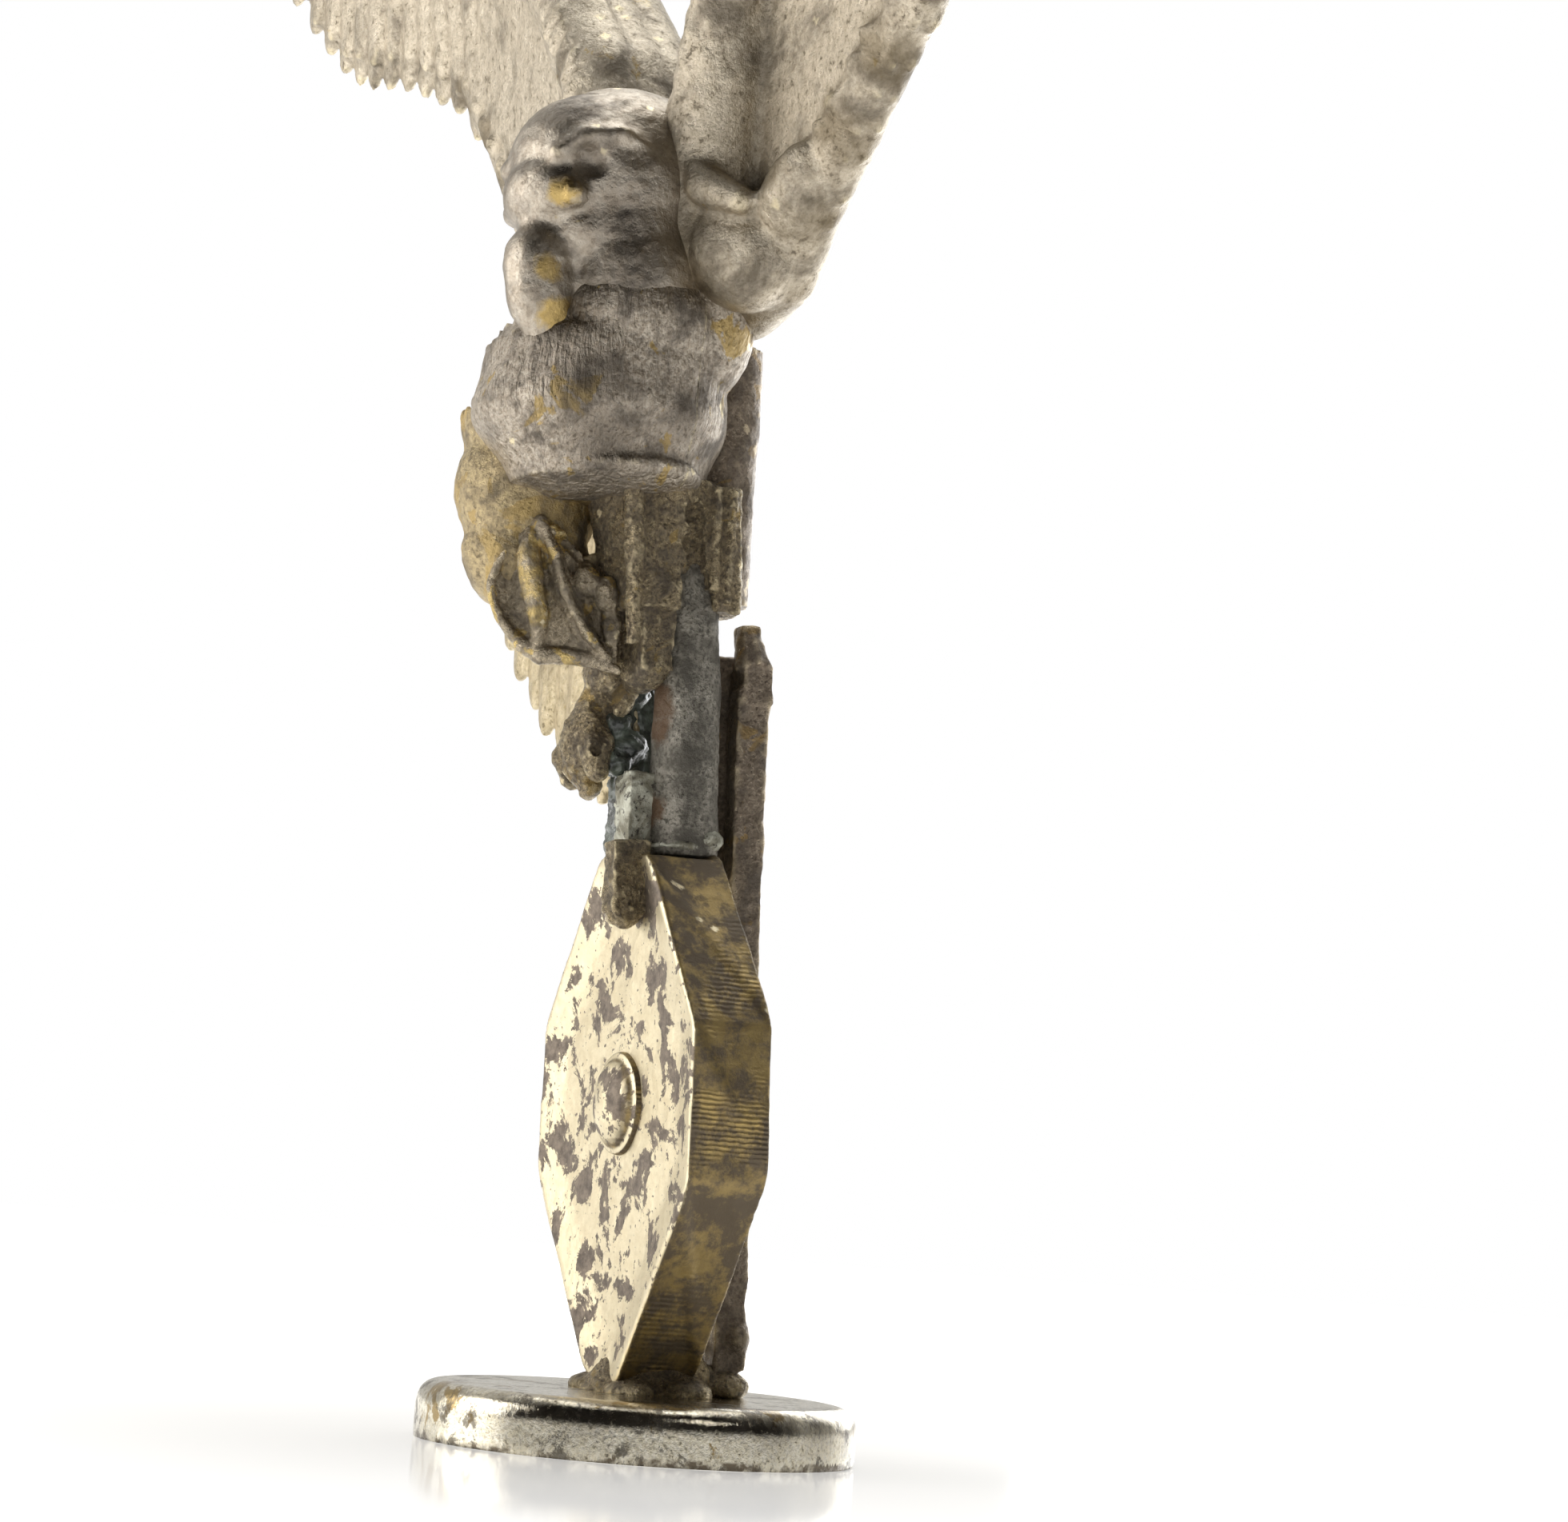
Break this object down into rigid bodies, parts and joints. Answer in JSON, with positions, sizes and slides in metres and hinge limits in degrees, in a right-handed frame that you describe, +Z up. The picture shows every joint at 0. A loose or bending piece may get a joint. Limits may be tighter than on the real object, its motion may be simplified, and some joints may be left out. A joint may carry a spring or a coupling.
{
  "type": "hood ornament",
  "caption": "Cast bird mascot with raised wings on a faceted plaque and a round base, fixed by a threaded stud, washers and nut.",
  "frame": {"origin": "centre of the base disc's underside, on the stud's axis", "axes": "+Z up along the stud, the bird faces -Y, +X is the bird's left side"},
  "size_m": [0.252, 0.0518, 0.2439],
  "materials": {
    "worn_plate": "worn silver plate over cast brass, tarnished in the hollows",
    "plaque_plate": "worn pale plate on the faces, filed brass on the edges",
    "dark_brass": "dark tarnished brass",
    "rough_casting": "rough sand-cast bronze with verdigris",
    "core_steel": "grey steel with rust patches",
    "soft_solder": "dull grey-green solder",
    "fastener_steel": "plain zinc-plated steel"
  },
  "bodies": {
    "figure": {"base_disc": "worn_plate", "base_solder": "soft_solder", "strip_foot_bead": "soft_solder", "emblem_plaque": "plaque_plate", "emblem_boss": "plaque_plate", "core_rod": "core_steel", "rod_solder": "soft_solder", "back_strip_lower": "dark_brass", "back_strip_upper": "dark_brass", "belly_core": "rough_casting", "breast_casting": "worn_plate", "back_casting": "worn_plate", "head": "worn_plate", "left_wing": "worn_plate", "right_wing": "worn_plate", "left_wing_pin": "core_steel", "right_wing_pin": "core_steel", "right_thigh": "worn_plate", "thigh_tuft": "worn_plate", "shank_tuft": "worn_plate", "right_foot": "rough_casting", "tail_fan": "worn_plate", "mounting_stud": "core_steel"},
    "washers": {"flat_washer": "fastener_steel", "lock_washer": "fastener_steel"},
    "nut": {"hex_nut": "fastener_steel"}
  },
  "joints": [
    {"name": "washer_slide", "type": "slide", "parent": "figure", "child": "washers", "axis": [0, 0, -1], "range_m": [-0.0025, 0.00875]},
    {"name": "nut_turn", "type": "hinge", "parent": "washers", "child": "nut", "pos_m": [0, 0, -0.0098], "axis": [0, 0, -1], "range_deg": [-720, 2520]}
  ],
  "couplings": [
    {"joint": "washer_slide", "follows": "nut_turn", "m_per_rad": 0.00019894}
  ]
}
